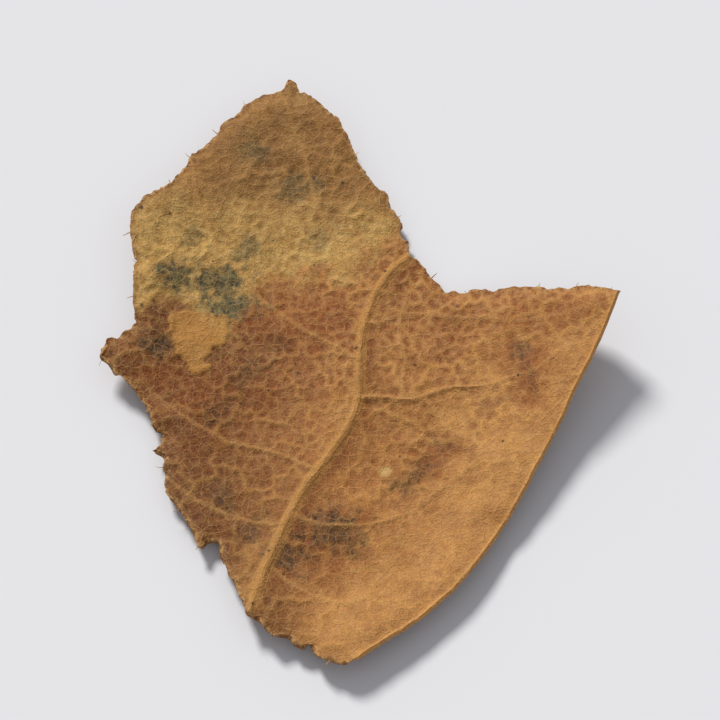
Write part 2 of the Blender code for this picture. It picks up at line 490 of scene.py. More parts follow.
# %% Distance from the rim
PROBE = 0.09
SHARE_PASSES = 16
SWING_PASSES = 6
rim_tree = KDTree(len(rim))
for index, spot in enumerate(rim_xy):
    rim_tree.insert((spot[0], spot[1], 0.0), index)
rim_tree.balance()
nearest_rim = np.array([rim_tree.find((x, y, 0.0))[1] for x, y in flat_xy])
rim_gap = np.hypot(*(flat_xy - rim_xy[nearest_rim]).T)
# Where the margin meets a tear, one finish turns into the other over a few tenths of a millimetre.
rim_share = is_margin.astype(float)
for _ in range(SHARE_PASSES):
    rim_share = 0.5 * rim_share + 0.25 * rim_share[around].sum(1)
margin_share = rim_share[nearest_rim]
rim_run = rim_xy[around[:, 1]] - rim_xy[around[:, 0]]
rim_inward = np.stack([-rim_run[:, 1], rim_run[:, 0]], 1) / np.linalg.norm(rim_run, axis=1)[:, None]
probe_in = inside_ring(rim_xy + PROBE * rim_inward, outline_xy)
probe_out = inside_ring(rim_xy - PROBE * rim_inward, outline_xy)
rim_inward[probe_out & ~probe_in] *= -1
# Directions that swing slowly along the rim keep its pushed-in rows from crossing in tight corners.
for _ in range(SWING_PASSES):
    rim_inward += rim_inward[around].sum(1)
    rim_inward /= np.linalg.norm(rim_inward, axis=1)[:, None]
inward = rim_inward[nearest_rim]
print("rim points that face both ways:", int((probe_in == probe_out).sum()))

# %% [markdown]
# Each vein is a ridge that gets thinner and lower along its line, with a broad soft fold of the blade
# under it. The main vein is also measured across and along, signed, for its strands and the band of
# painted shadow beside it.

# %% Distance from the veins
MAIN_WANDER = 0.008
SIDE_WANDER = 0.03
FOLD_SHARE = 0.8
FOLD_WIDTH = 0.38
wander = np.stack([noise_at(flat_xy, 0.5, 3.0), noise_at(flat_xy, 0.5, 9.0)], 1)
vein_ridge = np.zeros(len(flat_xy))
vein_fold = np.zeros(len(flat_xy))
vein_mark = np.zeros(len(flat_xy))
for index, (line, (wide, narrow, tall, low)) in enumerate(veins):
    wandered = flat_xy + (MAIN_WANDER if index == 0 else SIDE_WANDER) * wander
    gap, stretch, part = nearest_on_line(wandered, line)
    along = (stretch + part) / (len(line) - 1)
    half = wide + (narrow - wide) * along
    height = tall + (low - tall) * along
    vein_ridge = np.maximum(vein_ridge, height * ramp(-gap / half, -1.15, 0.1))
    vein_fold = np.maximum(vein_fold, FOLD_SHARE * height * np.exp(-(gap / FOLD_WIDTH) ** 2))
    vein_mark = np.maximum(vein_mark, ramp(-gap / half, -1.2, -0.55) * (0.55 + 0.45 * height / tall))
    if index == 0:
        run = (line[1:] - line[:-1])[stretch]
        toward = wandered - line[stretch]
        side = np.sign(run[:, 0] * toward[:, 1] - run[:, 1] * toward[:, 0])
        main_across = gap * side
        main_along = along * len(line) * VEIN_STEP
print("highest vein:", round(float(vein_ridge.max()), 3), "mm")

# %% Distance from the walls of the net
# Half the width and the height of a coarse, a middle and a fine wall.
NET_RANKS = [(0.036, 0.026), (0.028, 0.014), (0.022, 0.005)]
COARSE_HEIGHT = NET_RANKS[0][1]
PIT_RANGE = (0.012, 0.070)
_, (fine_wall, middle_wall, coarse_wall) = net_walls(warp(flat_xy))
net_ridge = np.zeros(len(flat_xy))
net_mark = np.zeros(len(flat_xy))
for wall, (half, height) in zip((coarse_wall, middle_wall, fine_wall), NET_RANKS):
    net_ridge = np.maximum(net_ridge, height * np.exp(-(wall / half) ** 2))
    net_mark = np.maximum(net_mark, (height / COARSE_HEIGHT) ** 0.7 * np.exp(-(wall / half) ** 2))
pit = ramp(fine_wall, *PIT_RANGE)
print("share of the blade that is net:", round(float((net_mark > 0.5).mean()), 2))

# %% [markdown]
# ## The form
#
# The blade lies on a flat belly, and past it rises as the square of the distance, which is how a
# drying sheet curls. On that go the cockles, half a millimetre to nearly two across and less than a
# tenth high, and the folds along the veins. Nothing may dip below the table, so cockles and folds only
# ever lift it.

# %% Curl and cockle the blade
BELLY_CENTRE = (-0.30, 0.10)
BELLY_RADII = (1.3, 1.7)
RISE = 0.150
RISE_TO_RIGHT = 0.025
RISE_TO_FAR_SIDE = -0.020
RISE_ACROSS = 0.020
RIPPLE = 0.020
RIPPLES_ROUND = 5
RIPPLE_PHASE = 1.0
BROAD_COCKLE = 0.060
SMALL_COCKLE = 0.024
MAIN_STEP = 0.020


def curl(spots):
    """Height of the blade's lower side: nothing on the belly, then rising towards the edge."""
    across = (spots[:, 0] - BELLY_CENTRE[0]) / BELLY_RADII[0]
    away = (spots[:, 1] - BELLY_CENTRE[1]) / BELLY_RADII[1]
    beyond = np.maximum(0.0, np.hypot(across, away) - 1.0)
    angle = np.arctan2(away, across)
    lift = RISE + RISE_TO_RIGHT * np.cos(angle) + RISE_TO_FAR_SIDE * np.sin(angle)
    lift += RISE_ACROSS * np.cos(2 * angle)
    lift += RIPPLE * np.sin(RIPPLES_ROUND * angle + RIPPLE_PHASE)
    return lift * beyond * beyond


broad = noise_at(flat_xy, 1.7, 51.0, 2)
small = noise_at(flat_xy, 0.6, 57.0, 2)
cockle = BROAD_COCKLE * ramp(broad, -0.8, 1.0) + SMALL_COCKLE * ramp(small, -0.9, 0.9)
# The lower right is the smooth side, painted lighter: partly its own paler tone, partly painted light.
lit_smooth_side = ramp(0.50 * flat_xy[:, 0] - 0.45 * flat_xy[:, 1] + 0.30 * broad, -0.1, 1.9)
# The right half of the blade sits a little lower than the left along the main vein.
left_of_main = ramp(main_across, -0.09, 0.09) * np.exp(-(np.abs(main_across) / 0.6) ** 1.5)
sheet_z = curl(flat_xy) + cockle + vein_fold + MAIN_STEP * left_of_main
print("blade up to", round(float(sheet_z.max()), 2), "mm, cockles up to", round(float(cockle.max()), 3))

# %% [markdown]
# On the upper side each mesh of the net is a shallow pit with its veinlets standing round it. The
# blade thins towards a tear, where tissue has pulled out, and keeps a small rolled bead along its own
# margin. Where one skin has lifted off there is a low flake with a sharp edge.

# %% Build up both surfaces
BLADE_THICKNESS = 0.150
TEAR_THINNING = 0.070
RIM_THINNING = 0.060
BEAD_HEIGHT = 0.010
UNEVENNESS = 0.012
TORN_ZONE = 0.16
THIN_ZONE = 0.20
BEAD_WIDTH = 0.05
PIT_DEPTH = 0.0065
GRAIN_DEPTH = 0.004
VEIN_GROOVE = 0.022
NET_GROOVE = 0.006
GRAIN_GROOVE = 0.002
FLAKE = [
    (-2.78, 1.38), (-2.30, 1.50), (-1.84, 1.45), (-1.90, 1.14),
    (-2.12, 0.88), (-2.28, 0.46), (-2.52, 0.62), (-2.72, 1.00),
]
FLAKE_HEIGHT = 0.030
FLAKE_RAGGEDNESS = 0.07
BLOT_LIMIT = 2.5


def blot(centre, radii, turn=0.0, ragged=0.35, soft=0.25, size=0.25):
    """A spot with a ragged edge: 1 inside, 0 outside."""
    offset = flat_xy - np.array(centre)
    cos = math.cos(turn)
    sin = math.sin(turn)
    across = (offset[:, 0] * cos + offset[:, 1] * sin) / radii[0]
    away = (offset[:, 1] * cos - offset[:, 0] * sin) / radii[1]
    reach = np.hypot(across, away)
    near = reach < BLOT_LIMIT
    edge = np.zeros(len(flat_xy))
    edge[near] = noise_at(flat_xy[near], size, centre[0] * 7 + centre[1], 3)
    return ramp(-reach + ragged * edge, -1.0 - soft, -1.0 + soft) * near


ragged = np.stack([noise_at(flat_xy, 0.22, shift, 2) for shift in (61.0, 67.0)], 1)
flake = inside_ring(flat_xy + FLAKE_RAGGEDNESS * ragged, np.array(FLAKE)).astype(float)
grain = noise_at(flat_xy, 0.10, 71.0, 2)
torn = (1.0 - margin_share) * np.exp(-(rim_gap / TORN_ZONE) ** 2)
bead = margin_share * np.exp(-(rim_gap / BEAD_WIDTH) ** 2)
thin_rim = margin_share * np.exp(-(rim_gap / THIN_ZONE) ** 2)
thickness = BLADE_THICKNESS - TEAR_THINNING * torn - RIM_THINNING * thin_rim + BEAD_HEIGHT * bead
thickness += UNEVENNESS * noise_at(flat_xy, 0.35, 75.0)
striae = noise_at(np.stack([main_across / 0.05, main_along / 0.6], 1), 1.0, 77.0)
# The net stands out where the tissue between it has shrunk most, and hardly at all on the smooth side.
shrunk = (0.35 + 0.75 * ramp(noise_at(flat_xy, 0.9, 83.0, 2), -0.7, 0.7)) * (1.0 - 0.60 * lit_smooth_side)
relief = np.maximum(vein_ridge * (1.0 + 0.10 * striae), net_ridge * shrunk * (1.0 - 0.5 * torn))
relief += GRAIN_DEPTH * grain - PIT_DEPTH * pit * shrunk * (1.0 - vein_mark)
relief += FLAKE_HEIGHT * flake * (0.8 + 0.2 * noise_at(flat_xy, 0.3, 79.0))
groove = VEIN_GROOVE * vein_mark + NET_GROOVE * net_mark + GRAIN_GROOVE * (1 + grain)
lower_z = sheet_z + groove
lower_z -= lower_z.min()
upper_z = lower_z - groove + thickness + relief
print("thickest spot:", round(float((upper_z - lower_z).max()), 3), "mm")

# %% [markdown]
# A tear is not a clean wall. The upper skin stops short, the tissue under it sticks out in crumbs,
# and the lower skin stops somewhere else again. The rim rows are pushed in by different amounts for
# that, and the push dies away over a few rows so that nothing folds over. The leaf's own margin gets
# the same treatment more gently, which rounds it.

# %% Shape the rim
TEAR_SETBACK = 0.050
TEAR_REACH = 0.09
LOWER_SHARE = 0.4
CRUMB_PUSH = 0.016
BEAD_SETBACK = 0.042
BEAD_REACH = 0.05
SHARP_ANGLE = 62
round_rim = noise_at(flat_xy, 0.16, 91.0, 2)[sheet_number]
crumbs = noise_at(flat_xy, 0.05, 95.0, 1)[sheet_number]
push_top = TEAR_SETBACK * ramp(round_rim, -0.5, 0.9) * layer ** 2
push_low = LOWER_SHARE * TEAR_SETBACK * ramp(-round_rim, -0.2, 0.9) * (1 - layer) ** 2
push_middle = CRUMB_PUSH * crumbs * 4 * layer * (1 - layer)
tear_push = (push_top + push_low + push_middle) * np.exp(-(rim_gap / TEAR_REACH) ** 2)[sheet_number]
bead_push = BEAD_SETBACK * (2 * layer - 1) ** 2 * np.exp(-(rim_gap / BEAD_REACH) ** 2)[sheet_number]
push = tear_push + margin_share[sheet_number] * (bead_push - tear_push)
shaped_xy = flat_xy[sheet_number] + inward[sheet_number] * push[:, None]
shaped_z = lower_z[sheet_number] * (1 - layer) + upper_z[sheet_number] * layer
middle = 0.5 * (outline_xy.min(0) + outline_xy.max(0))
leaf_middle = np.array([0.5 * (leaf_low.x + leaf_high.x), 0.5 * (leaf_low.y + leaf_high.y)])
points[:, :2] = (shaped_xy - middle) * MM + leaf_middle
points[:, 2] = shaped_z * MM + leaf_low.z
leaf_mesh.vertices.foreach_set("co", points.ravel())
leaf_mesh.update()
leaf_mesh.shade_smooth()
leaf_mesh.set_sharp_from_angle(angle=math.radians(SHARP_ANGLE))
print("blade box in mm:", np.round((points.max(0) - points.min(0)) / MM, 2))

# %% [markdown]
# ## Marking the blade
#
# Colour on a dead leaf follows its history. Veins bleach pale, the pits between them keep a reddish
# brown, fungus leaves grey-green smudges and black specks, and where the upper part stayed damp it
# went olive. Some marks paint light and shade as well: the lower right is painted lighter, the left
# side and the far left edge darker, and a band of painted shadow runs beside the main vein. Each of
# those is a mark from 0 to 1 stored on the points, and the material reads them.

# %% Place the stains
OLIVE_FROM = (-3.40, 1.10)
OLIVE_TO = (0.20, 2.40)
# Where the band of painted shadow beside the main vein lies, and how wide it is.
SHADOW_BAND_AWAY = 0.14
SHADOW_BAND_WIDTH = 0.085
SMUDGES = [
    ((-0.40, -1.90), (0.34, 0.26), 0.4, 1.00), ((-1.00, -2.36), (0.26, 0.18), -0.3, 0.90),
    ((-0.10, -2.14), (0.22, 0.16), 0.2, 0.75), ((0.86, -0.98), (0.32, 0.14), 0.5, 0.60),
    ((0.62, -1.22), (0.18, 0.12), 0.0, 0.60), ((2.36, 0.80), (0.13, 0.12), 0.0, 0.70),
    ((2.48, 0.40), (0.05, 0.30), 0.25, 0.45), ((-1.95, -1.40), (0.16, 0.24), 0.3, 0.60),
    ((-1.52, -1.90), (0.13, 0.26), -0.4, 0.50), ((-2.95, 0.95), (0.20, 0.17), 0.0, 1.00),
    ((-1.60, 0.55), (0.30, 0.16), 0.7, 0.50), ((1.30, -0.55), (0.22, 0.14), -0.3, 0.35),
    ((-2.10, -0.10), (0.22, 0.15), 0.5, 0.50), ((-1.25, 1.05), (0.20, 0.14), -0.5, 0.35),
]
BLOTCHES = [
    ((-2.02, 2.03), (0.34, 0.22), 0.2, 1.00), ((-2.70, 2.05), (0.26, 0.18), 0.0, 1.00),
    ((-1.70, 2.50), (0.18, 0.14), 0.5, 0.65), ((-2.45, 2.70), (0.14, 0.10), 0.9, 0.50),
    ((-0.90, 3.55), (0.30, 0.20), 0.2, 0.50), ((-1.55, 4.10), (0.24, 0.16), -0.4, 0.45),
    ((-0.55, 2.75), (0.22, 0.14), 0.6, 0.35), ((-1.90, 1.64), (0.38, 0.17), 0.0, 1.00),
]
RUST_AND_SHADE = [
    ((-0.85, 1.28), (0.60, 0.50), 0.4, 1.00), ((2.42, 0.72), (0.30, 0.26), 0.2, 1.00),
    ((2.90, 1.32), (0.55, 0.20), 0.0, 0.60), ((1.25, 1.30), (0.60, 0.30), 0.1, 0.40),
    ((-2.30, -0.30), (0.50, 0.40), 0.3, 0.70), ((-1.55, 0.25), (0.40, 0.45), 0.2, 0.60),
    # The second spot on the next line, at the far left edge, is partly rust and partly painted shade.
    ((-0.45, -2.15), (0.62, 0.42), 0.4, 0.70), ((-2.85, 0.42), (0.60, 0.36), 0.3, 1.00),
    ((-2.20, 0.28), (0.55, 0.34), 0.1, 1.00), ((1.02, -0.84), (0.36, 0.20), 0.4, 0.90),
    ((2.48, 0.34), (0.22, 0.30), 0.2, 1.00), ((-1.66, 1.42), (0.22, 0.15), 0.3, 1.00),
]
PALE_PATCHES = [
    ((1.50, -0.10), (0.65, 0.40), 0.3, 0.90), ((-1.50, -2.60), (0.28, 0.60), -0.4, 1.00),
    ((0.30, -3.00), (0.60, 0.35), 0.7, 0.70), ((2.10, -1.10), (0.45, 0.80), -0.5, 0.60),
    ((-0.22, -0.05), (0.18, 0.55), -0.3, 0.60), ((0.55, 0.75), (0.25, 0.40), 0.0, 0.50),
    ((-0.44, 0.85), (0.30, 0.35), 0.0, 0.60), ((0.88, 1.10), (0.35, 0.30), 0.0, 0.60),
]
run = np.array(OLIVE_TO) - np.array(OLIVE_FROM)
over_line = ((flat_xy - np.array(OLIVE_FROM)) @ np.array([-run[1], run[0]])) / np.linalg.norm(run)
drift = noise_at(flat_xy, 0.8, 101.0, 3)
olive = ramp(over_line + 0.36 * drift + 0.14 * (pit - 0.5), -0.14, 0.30)


def blots(spots, ragged, soft, size):
    """Several spots at once, each with its own strength."""
    most = np.zeros(len(flat_xy))
    for centre, radii, turn, strength in spots:
        most = np.maximum(most, strength * blot(centre, radii, turn, ragged, soft, size))
    return most


smudge = blots(SMUDGES, ragged=0.60, soft=0.75, size=0.15)
blotch = blots(BLOTCHES, ragged=0.65, soft=0.60, size=0.13)
# Rust spots; the one at the far left edge is partly painted shade.
rust_and_shade = blots(RUST_AND_SHADE, ragged=0.55, soft=0.80, size=0.30)
pale_patch = blots(PALE_PATCHES, ragged=0.45, soft=0.85, size=0.45)
pale_dot = blot((0.39, -0.98), (0.09, 0.08), ragged=0.2, soft=0.5)
# The left side is darker: partly its own stain, partly painted shade on the side turned from the light.
stain_and_shade_side = ramp(0.30 * broad + 0.15 * drift - flat_xy[:, 0] - 0.10 * flat_xy[:, 1], 0.5, 2.4)
stain_and_shade_side *= 1 - olive
tongue = ramp(flat_xy[:, 1] + 0.30 * drift, 2.5, 4.0)
# A dark band of painted shadow runs close along the right of the main vein, where its shadow falls.
vein_shadow_band = np.exp(-(((main_across + SHADOW_BAND_AWAY) / SHADOW_BAND_WIDTH) ** 2))
vein_shadow_band *= ramp(noise_at(flat_xy, 0.5, 91.0), -0.9, 0.4)
stipple = ramp(0.35 * flat_xy[:, 1] - 0.12 * flat_xy[:, 0] + 0.35 * drift, -0.55, 0.55)
stained = float((smudge > 0.3).mean())
print("olive share:", round(float(olive.mean()), 2), "stained share:", round(stained, 3))

# %% Store the marks on the points
SHEET_MARKS = {
    "vein": vein_mark,
    "net": net_mark,
    "pit": pit,
    "olive": olive,
    "smudge": smudge,
    "blotch": blotch,
    "flake": flake,
    "rust_and_shade": rust_and_shade,
    "pale_patch": pale_patch,
    "pale_dot": pale_dot,
    "lit_smooth_side": lit_smooth_side,
    "stain_and_shade_side": stain_and_shade_side,
    "stipple": stipple,
    "tongue": tongue,
    "vein_shadow_band": vein_shadow_band,
    "bead": bead,
    "torn": (1.0 - margin_share) * np.exp(-(rim_gap / 0.05) ** 2),
    "main_vein": ramp(-np.abs(main_across), -0.11, -0.07),
    "main_across": main_across,
    "main_along": main_along,
}
marks = {name: values[sheet_number] for name, values in SHEET_MARKS.items()}
marks["lower_side"] = ramp(1.0 - layer, 0.55, 0.95)
for name, values in marks.items():
    stored = leaf_mesh.attributes.new(name, "FLOAT", "POINT")
    stored.data.foreach_set("value", values.astype(np.float32))
blade = bpy.data.objects.new("leaf_blade", leaf_mesh)
bpy.context.scene.collection.objects.link(blade)
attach(blade, "root")
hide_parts("leaf_piece")
print("marks:", ", ".join(marks))

# %% [markdown]
# ## The dry leaf material
#
# The real stuff is dead plant tissue under a thin wax skin: cellulose and tannin, dull and slightly
# translucent. It is a dielectric with an index of about 1.45, rough at 0.55 to 0.8, and a little light
# gets through it. Its colour comes from three scales: patches a millimetre across, the net at a fifth
# of a millimetre, and single cells of about 30 micrometres. The cells are drawn at 45 micrometres,
# because finer ones would not show.

# %% Tools for materials
def colour(code):
    """An sRGB hex colour as the linear numbers that a shader wants."""
    shades = []
    for start in (1, 3, 5):
        shade = int(code[start:start + 2], 16) / 255
        shades.append(shade / 12.92 if shade <= 0.04045 else ((shade + 0.055) / 1.055) ** 2.4)
    return (*shades, 1.0)


def add_node(tree, kind, settings=None, values=None, links=None):
    """Adds a node, then its settings, its socket values and the links into it."""
    node = tree.nodes.new(kind)
    for name, value in (settings or {}).items():
        setattr(node, name, value)
    for socket, value in (values or {}).items():
        node.inputs[socket].default_value = value
    for socket, source in (links or {}).items():
        tree.links.new(source, node.inputs[socket])
    return node


def per_mm(size):
    """The texture scale that makes a pattern's repeat the given size in millimetres."""
    return 1.0 / (size * MM)


# %% Start the leaf material
leaf = bpy.data.materials.new("dry_leaf_tissue")
leaf.use_nodes = True
tree = leaf.node_tree
tree.nodes.clear()
place = add_node(tree, "ShaderNodeTexCoord").outputs["Object"]
signal = {}
for name in marks:
    signal[name] = add_node(tree, "ShaderNodeAttribute", {"attribute_name": name}).outputs["Fac"]
print("marks read:", len(signal))

# %% Spread the patterns
# Each pattern: its name, its size in mm, its finer octaves, and the noise where it starts and is full.
PATTERNS = [
    ("patches", 1.3, 4.0, 0.40, 0.62),
    ("mottle", 0.36, 5.0, 0.40, 0.64),
    ("fine_mottle", 0.11, 4.0, 0.38, 0.64),
    ("crumbs", 0.08, 3.0, 0.42, 0.60),
    ("fungus", 0.075, 2.0, 0.50, 0.58),
    ("dust", 0.030, 3.0, 0.30, 0.70),
    ("wax", 0.20, 3.0, 0.30, 0.70),
]
MULTIPLY = {"operation": "MULTIPLY"}
SMOOTH = {"interpolation_type": "SMOOTHSTEP"}
for name, size, detail, low, high in PATTERNS:
    values = {"Scale": per_mm(size), "Detail": detail, "Roughness": 0.62}
    clouds = add_node(tree, "ShaderNodeTexNoise", None, values, {"Vector": place})
    ends = {"From Min": low, "From Max": high}
    faded = add_node(tree, "ShaderNodeMapRange", SMOOTH, ends, {"Value": clouds.outputs["Fac"]})
    signal[name] = faded.outputs[0]
print("patterns:", len(PATTERNS))

# %% Draw the finest veinlets
VEINLET_MESHES = [("veinlet", 0.150, 0.10, 0.02), ("hair_veinlet", 0.080, 0.14, 0.03)]
BEND_SPACING = 0.12
BEND_DEPTH = 0.05
FLAT_NET = {"feature": "DISTANCE_TO_EDGE", "voronoi_dimensions": "2D"}
waves = {"Scale": per_mm(BEND_SPACING), "Detail": 1.0}
wave = add_node(tree, "ShaderNodeTexNoise", None, waves, {"Vector": place})
depth = {"Scale": BEND_DEPTH * MM}
bend = add_node(tree, "ShaderNodeVectorMath", {"operation": "SCALE"}, depth, {0: wave.outputs["Color"]})
bent = add_node(tree, "ShaderNodeVectorMath", {"operation": "ADD"}, None, {0: place, 1: bend.outputs[0]})
bent_place = {"Vector": bent.outputs[0]}
for name, mesh_size, start, full in VEINLET_MESHES:
    walls = add_node(tree, "ShaderNodeTexVoronoi", FLAT_NET, {"Scale": per_mm(mesh_size)}, bent_place)
    ends = {"From Min": start, "From Max": full}
    faded = add_node(tree, "ShaderNodeMapRange", SMOOTH, ends, {"Value": walls.outputs["Distance"]})
    signal[name] = faded.outputs[0]
print("veinlet nets:", len(VEINLET_MESHES))

# %% Draw the cells and the specks
CELL = 0.045
SPECK_SPACING = 0.21
cells = add_node(tree, "ShaderNodeTexVoronoi", None, {"Scale": per_mm(CELL)}, {"Vector": place})
specks = add_node(tree, "ShaderNodeTexVoronoi", None, {"Scale": per_mm(SPECK_SPACING)}, bent_place)
luck = add_node(tree, "ShaderNodeSeparateColor", None, None, {"Color": specks.outputs["Color"]})
# The random colour of a Voronoi cell picks which spots get a speck, and how large each one is.
speck_size = add_node(tree, "ShaderNodeMath", {"operation": "ADD"}, {1: 0.35}, {0: luck.outputs["Green"]})
parts = {0: specks.outputs["Distance"], 1: speck_size.outputs[0]}
from_speck = add_node(tree, "ShaderNodeMath", {"operation": "DIVIDE"}, None, parts)
CELL_SIGNALS = [
    ("speck_spot", from_speck.outputs[0], 0.17, 0.08),
    ("speck_pick", luck.outputs["Red"], 0.72, 0.84),
    ("cell_wall", cells.outputs["Distance"], 0.1, 0.6),
]
for name, source, start, full in CELL_SIGNALS:
    ends = {"From Min": start, "From Max": full}
    faded = add_node(tree, "ShaderNodeMapRange", SMOOTH, ends, {"Value": source})
    signal[name] = faded.outputs[0]
print("cells:", CELL, "mm wide; places for a speck:", SPECK_SPACING, "mm apart")

# %% Draw the strands of the main vein
STRAND_WIDTH = 0.024
STRAND_LENGTH = 0.45
vein_axes = {"X": signal["main_across"], "Y": signal["main_along"]}
on_vein = add_node(tree, "ShaderNodeCombineXYZ", None, None, vein_axes)
squeeze = {1: (1 / STRAND_WIDTH, 1 / STRAND_LENGTH, 1.0)}
lanes = add_node(tree, "ShaderNodeVectorMath", MULTIPLY, squeeze, {0: on_vein.outputs[0]})
plain = {"Scale": 1.0, "Detail": 2.0}
streaks = add_node(tree, "ShaderNodeTexNoise", None, plain, {"Vector": lanes.outputs[0]})
ends = {"From Min": 0.38, "From Max": 0.62}
faded = add_node(tree, "ShaderNodeMapRange", SMOOTH, ends, {"Value": streaks.outputs["Fac"]})
both = {0: faded.outputs[0], 1: signal["main_vein"]}
strands = add_node(tree, "ShaderNodeMath", MULTIPLY, None, both)
signal["strand"] = strands.outputs[0]
print("strands:", STRAND_WIDTH, "mm wide and", STRAND_LENGTH, "mm long")

# %% [markdown]
# The colour is painted in layers, as with thin washes: each layer lays one colour over what is there,
# as strongly as its marks say. Where a layer names two marks, it only shows where both do.

# %% Paint the layers
# Each layer: its marks, how strongly it covers and its colour. They lie on the ground colour in turn.
BLEND = {"data_type": "RGBA"}
GROUND = "#a06434"
LAYERS = [
    ("patches", 1.00, "#ae753c"),
    # The lighter lower right is partly its own tone and partly painted light.
    ("lit_smooth_side", 0.85, "#c38b50"),
    # The darker left side is partly stain and partly painted shade.
    ("stain_and_shade_side", 1.00, "#5c3115"),
    ("pale_patch", 0.72, "#c38d50"),
    # Rust, which at the far left edge is partly painted shade.
    ("rust_and_shade", 0.76, "#823f12"),
    ("mottle", 0.42, "#844c24"),
    ("fine_mottle", 0.22, "#b98850"),
    ("mottle stipple", 0.46, "#7a4220"),
    ("pit stipple", 0.76, "#793b12"),
    ("crumbs stipple", 0.20, "#cda46e"),
    ("net", 0.42, "#cb9852"),
    # A second wash of rust, partly painted shade at the far left edge.
    ("rust_and_shade", 0.32, "#78350c"),
    # More of the darker left side, partly stain and partly painted shade.
    ("stain_and_shade_side", 0.20, "#572b11"),
    # The band of painted shadow along the right of the main vein.
    ("vein_shadow_band", 0.70, "#7a431e"),
    ("olive", 0.92, "#c2954f"),
    ("olive mottle", 0.74, "#8f662f"),
    ("olive patches", 0.46, "#c6a05e"),
    ("olive pit", 0.28, "#7f5c2e"),
    ("olive crumbs", 0.34, "#d2b374"),
    ("olive net", 0.36, "#cdab66"),
    ("tongue", 0.66, "#85542b"),
    ("tongue mottle", 0.30, "#6b4224"),
    ("flake", 0.75, "#bd8844"),
    ("smudge", 0.70, "#4c3a24"),
    ("smudge fungus", 0.72, "#2b2117"),
    ("blotch", 0.78, "#434a34"),
    ("blotch fungus", 0.72, "#252c26"),
    ("blotch net", 0.30, "#8d8154"),
    ("vein", 0.40, "#c39256"),
    ("main_vein", 0.50, "#ca944e"),
    ("strand", 0.32, "#8a5c32"),
    ("pale_dot", 0.70, "#d0b070"),
    ("torn", 0.55, "#6f4727"),
    ("torn crumbs", 0.70, "#c99c62"),
    ("bead", 0.60, "#cf9c5c"),
    ("lower_side", 1.00, "#7b4a27"),
    ("lower_side patches", 0.80, "#98622f"),
    ("lower_side mottle", 0.40, "#643819"),
    ("lower_side net", 0.45, "#57321b"),
    ("lower_side olive", 0.35, "#8a6c3a"),
    ("lower_side smudge", 0.35, "#3a2a1a"),
    ("lower_side vein", 0.60, "#a87c48"),
    ("veinlet", 0.24, "#c2925a"),
    ("hair_veinlet", 0.12, "#c2925a"),
    ("speck_spot speck_pick", 0.75, "#2f2017"),
]
tone = None
for names, strength, code in LAYERS:
    first, *others = names.split()
    amount = add_node(tree, "ShaderNodeMath", MULTIPLY, {1: strength}, {0: signal[first]})
    for other in others:
        amount = add_node(tree, "ShaderNodeMath", MULTIPLY, None, {0: amount.outputs[0], 1: signal[other]})
    wash = add_node(tree, "ShaderNodeMix", BLEND, {7: colour(code)}, {0: amount.outputs[0]})
    if tone is None:
        wash.inputs[6].default_value = colour(GROUND)
    else:
        tree.links.new(tone, wash.inputs[6])
    tone = wash.outputs[2]
print("layers of colour:", len(LAYERS))

# %% Finish the surface
ends = {"To Min": 0.82, "To Max": 1.14}
shade = add_node(tree, "ShaderNodeMapRange", None, ends, {"Value": signal["dust"]})
dusty = add_node(tree, "ShaderNodeHueSaturation", None, None, {"Color": tone, "Value": shade.outputs[0]})
# Each bump: what it follows and how high it stands, in mm.
BUMPS = [
    ("cell_wall", -0.0030),
    ("veinlet", 0.0060),
    ("hair_veinlet", 0.0035),
    ("dust", 0.0050),
    ("strand", -0.0070),
    ("fine_mottle", 0.0060),
]
MULTIPLY_ADD = {"operation": "MULTIPLY_ADD"}
bumps = None
for name, tall in BUMPS:
    total = add_node(tree, "ShaderNodeMath", MULTIPLY_ADD, {1: tall, 2: 0.0}, {0: signal[name]})
    if bumps is not None:
        tree.links.new(bumps, total.inputs[2])
    bumps = total.outputs[0]
bump = add_node(tree, "ShaderNodeBump", None, {"Strength": 0.7, "Distance": MM}, {"Height": bumps})
ends = {"To Min": 0.55, "To Max": 0.80}
dullness = add_node(tree, "ShaderNodeMapRange", None, ends, {"Value": signal["wax"]})
tissue = {
    "IOR": 1.45,
    "Specular IOR Level": 0.25,
    "Subsurface Weight": 0.12,
    "Subsurface Radius": (1.0, 0.45, 0.2),
    "Subsurface Scale": 0.12 * MM,
}
links = {"Base Color": dusty.outputs[0], "Roughness": dullness.outputs[0], "Normal": bump.outputs[0]}
shader = add_node(tree, "ShaderNodeBsdfPrincipled", None, tissue, links)
add_node(tree, "ShaderNodeOutputMaterial", None, None, {"Surface": shader.outputs[0]})
leaf_mesh.materials.append(leaf)
print("nodes in the leaf material:", len(tree.nodes))

# %% [markdown]
# ## Fibres in the tears
#
# Veins are the leaf's ropes. A tear breaks the soft tissue first, so the broken veins are left
# sticking out of it as short pale threads. Each one is a thin cone whose thick end is sunk in the
# blade's edge, and it is bent by moving its rings.

# %% Find where veins cross a tear
FIBRE_LENGTH = (0.05, 0.15)
FIBRE_RADIUS = (0.006, 0.011)
FIBRE_SIDES = 6
FIBRE_RINGS = 5
FIBRE_SPACING = 0.45
FIBRE_TAPER = 0.35
FIBRE_LEAN = 0.9
FIBRE_DROOP = (-0.25, 0.35)
FIBRE_ROOT = 0.04
NEAR_VEIN = 0.02
fibre_draw = random.Random(23)
_, (_, middle_at_rim, _) = net_walls(warp(rim_xy))
roots = []
for index in np.flatnonzero(~is_margin & (middle_at_rim < NEAR_VEIN)):
    spot = rim_xy[index]
    if all(np.hypot(*(spot - other)) > FIBRE_SPACING for other, _ in roots):
        roots.append((spot, -rim_inward[index]))
print("fibres:", len(roots))

